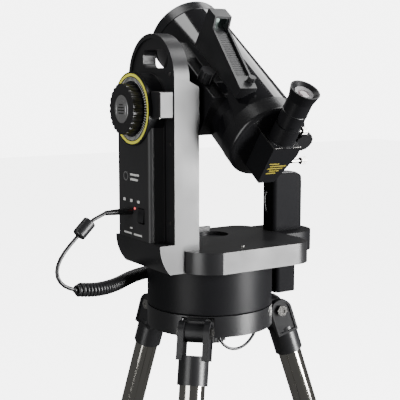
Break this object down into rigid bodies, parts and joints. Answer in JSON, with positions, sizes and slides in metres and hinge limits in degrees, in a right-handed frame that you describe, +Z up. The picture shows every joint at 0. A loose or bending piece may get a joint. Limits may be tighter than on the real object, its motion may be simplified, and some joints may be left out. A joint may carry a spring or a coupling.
{
  "type": "maksutov telescope",
  "caption": "Short Maksutov telescope on a single-arm computerised altazimuth mount with a hand control, standing on a tripod with sliding steel legs.",
  "frame": {"origin": "on the floor, under the middle of the box round the object without its cords", "axes": "+Z up, +X along the altitude axis away from the arm, +Y the way the tube points"},
  "size_m": [0.5283, 0.532, 1.037],
  "materials": {
    "black_plastic": "satin moulded black plastic",
    "gloss_black": "gloss black paint on aluminium",
    "cell_black": "satin black anodised",
    "leg_steel": "polished steel tube",
    "bright_metal": "plated",
    "gear_brass": "cut",
    "soft_black": "matt rubber",
    "cord_black": "satin cord jacket",
    "optical_glass": "coated",
    "mirror_coat": "aluminised glass",
    "key_grey": "silicone keys"
  },
  "bodies": {
    "tripod": {"tripod_head": "black_plastic", "leg_pivot_bolts": "bright_metal", "azimuth_gear": "gear_brass", "tether_cable": "cord_black"},
    "clamp_knob": {"mount_bolt_knob": "black_plastic"},
    "mount": {"drum_housing": "black_plastic", "azimuth_gearbox": "black_plastic", "base_plate": "black_plastic", "handset_holder": "black_plastic", "arm_frame": "black_plastic", "control_panel": "black_plastic", "gearbox_boss": "black_plastic", "housing_screws": "bright_metal", "handset_shell": "black_plastic", "handset_display": "optical_glass", "cord_plug": "cord_black", "ferrite_bead": "cord_black", "cord_lead": "cord_black", "coil_cord": "cord_black", "cord_tail": "cord_black"},
    "rocker": {"power_rocker": "black_plastic"},
    "altitude": {"altitude_shaft": "bright_metal", "altitude_dial": "cell_black", "tube_saddle": "cell_black", "optical_tube": "gloss_black", "front_cell": "cell_black", "corrector_lens": "optical_glass", "rear_cell": "cell_black", "mirror_box": "cell_black", "finder_body": "black_plastic", "finder_window": "optical_glass"},
    "lock": {"altitude_knob": "black_plastic"},
    "focuser": {"focus_knob": "black_plastic"},
    "mirror": {"primary_mirror": "mirror_coat"},
    "flip": {"flip_lever": "bright_metal"},
    "eye_screw": {"eyepiece_screw": "bright_metal"},
    "ocular": {"eyepiece": "black_plastic"},
    "finder_dial": {"finder_knob": "black_plastic"},
    "saddle_screw": {"saddle_knob": "black_plastic"},
    "pad_key": {"direction_pad": "key_grey"},
    "enter": {"enter_key": "key_grey"},
    "back": {"back_key": "key_grey"},
    "leg_1": {"leg_fitting_1": "black_plastic", "upper_tube_1": "leg_steel", "lock_collar_1": "black_plastic"},
    "leg_lower_1": {"lower_tube_1": "leg_steel", "foot_1": "soft_black"},
    "leg_lock_1": {"lock_knob_1": "black_plastic"},
    "leg_2": {"leg_fitting_2": "black_plastic", "upper_tube_2": "leg_steel", "lock_collar_2": "black_plastic"},
    "leg_lower_2": {"lower_tube_2": "leg_steel", "foot_2": "soft_black"},
    "leg_lock_2": {"lock_knob_2": "black_plastic"},
    "leg_3": {"leg_fitting_3": "black_plastic", "upper_tube_3": "leg_steel", "lock_collar_3": "black_plastic"},
    "leg_lower_3": {"lower_tube_3": "leg_steel", "foot_3": "soft_black"},
    "leg_lock_3": {"lock_knob_3": "black_plastic"}
  },
  "joints": [
    {"name": "clamp_turn", "type": "hinge", "parent": "tripod", "child": "clamp_knob", "pos_m": [-0.04117, -0.03614, 0.613], "axis": [0, 0, 1], "range_deg": [0, 720]},
    {"name": "leg_fold_1", "type": "hinge", "parent": "tripod", "child": "leg_1", "pos_m": [-0.10855, -0.10591, 0.623], "axis": [0.7193, -0.6947, 0], "range_deg": [0, 16]},
    {"name": "leg_extend_1", "type": "slide", "parent": "leg_1", "child": "leg_lower_1", "axis": [-0.2181, -0.2259, -0.9494], "range_m": [0, 0.28]},
    {"name": "leg_lock_turn_1", "type": "hinge", "parent": "leg_1", "child": "leg_lock_1", "pos_m": [-0.19951, -0.2001, 0.22709], "axis": [-0.6595, -0.683, 0.314], "range_deg": [0, 360]},
    {"name": "leg_fold_2", "type": "hinge", "parent": "tripod", "child": "leg_2", "pos_m": [0.05295, -0.0596, 0.623], "axis": [0.2419, 0.9703, 0], "range_deg": [0, 16]},
    {"name": "leg_extend_2", "type": "slide", "parent": "leg_2", "child": "leg_lower_2", "axis": [0.3047, -0.076, -0.9494], "range_m": [0, 0.28]},
    {"name": "leg_lock_turn_2", "type": "hinge", "parent": "leg_2", "child": "leg_lock_2", "pos_m": [0.17999, -0.09128, 0.22709], "axis": [0.9212, -0.2297, 0.314], "range_deg": [0, 360]},
    {"name": "leg_fold_3", "type": "hinge", "parent": "tripod", "child": "leg_3", "pos_m": [-0.06791, 0.05711, 0.623], "axis": [-0.9613, -0.2756, 0], "range_deg": [0, 16]},
    {"name": "leg_extend_3", "type": "slide", "parent": "leg_3", "child": "leg_lower_3", "axis": [-0.0865, 0.3018, -0.9494], "range_m": [0, 0.28]},
    {"name": "leg_lock_turn_3", "type": "hinge", "parent": "leg_3", "child": "leg_lock_3", "pos_m": [-0.104, 0.18297, 0.22709], "axis": [-0.2617, 0.9126, 0.314], "range_deg": [0, 360]},
    {"name": "azimuth", "type": "hinge", "parent": "tripod", "child": "mount", "pos_m": [-0.04117, -0.03614, 0.64], "axis": [0, 0, 1], "continuous": true},
    {"name": "power_rock", "type": "hinge", "parent": "mount", "child": "rocker", "pos_m": [-0.15117, -0.05314, 0.766], "axis": [0, 1, 0], "range_deg": [-16, 0]},
    {"name": "altitude_swing", "type": "hinge", "parent": "mount", "child": "altitude", "pos_m": [-0.04117, -0.03614, 0.898], "axis": [1, 0, 0], "range_deg": [-41, 54]},
    {"name": "altitude_lock", "type": "hinge", "parent": "altitude", "child": "lock", "pos_m": [-0.15777, -0.03614, 0.898], "axis": [1, 0, 0], "range_deg": [0, 90]},
    {"name": "focus_turn", "type": "hinge", "parent": "altitude", "child": "focuser", "pos_m": [0.01083, -0.15202, 0.86696], "axis": [0, 0.809, 0.5878], "range_deg": [-721, 721]},
    {"name": "mirror_shift", "type": "slide", "parent": "altitude", "child": "mirror", "axis": [0, 0.809, 0.5878], "range_m": [-0.003, 0.003]},
    {"name": "flip_swing", "type": "hinge", "parent": "altitude", "child": "flip", "pos_m": [-0.02717, -0.1462, 0.84584], "axis": [1, 0, 0], "range_deg": [0, 45]},
    {"name": "eye_screw_turn", "type": "hinge", "parent": "altitude", "child": "eye_screw", "pos_m": [-0.00717, -0.17629, 0.87281], "axis": [1, 0, 0], "range_deg": [0, 360]},
    {"name": "ocular_slide", "type": "slide", "parent": "altitude", "child": "ocular", "axis": [0, -0.5878, 0.809], "range_m": [0, 0.02]},
    {"name": "finder_turn", "type": "hinge", "parent": "altitude", "child": "finder_dial", "pos_m": [-0.05092, -0.13868, 0.93196], "axis": [0, -0.5878, 0.809], "range_deg": [0, 270]},
    {"name": "saddle_turn", "type": "hinge", "parent": "altitude", "child": "saddle_screw", "pos_m": [-0.08557, -0.09082, 0.93243], "axis": [0, -0.5878, 0.809], "range_deg": [0, 360]},
    {"name": "pad_press", "type": "slide", "parent": "mount", "child": "pad_key", "axis": [0, -1, 0], "range_m": [0, 0.001], "stiffness_N_per_m": 800},
    {"name": "enter_press", "type": "slide", "parent": "mount", "child": "enter", "axis": [0, -1, 0], "range_m": [0, 0.001], "stiffness_N_per_m": 800},
    {"name": "back_press", "type": "slide", "parent": "mount", "child": "back", "axis": [0, -1, 0], "range_m": [0, 0.001], "stiffness_N_per_m": 800}
  ],
  "couplings": [
    {"joint": "focus_turn", "follows": "mirror_shift", "rad_per_m": 4188.8}
  ]
}
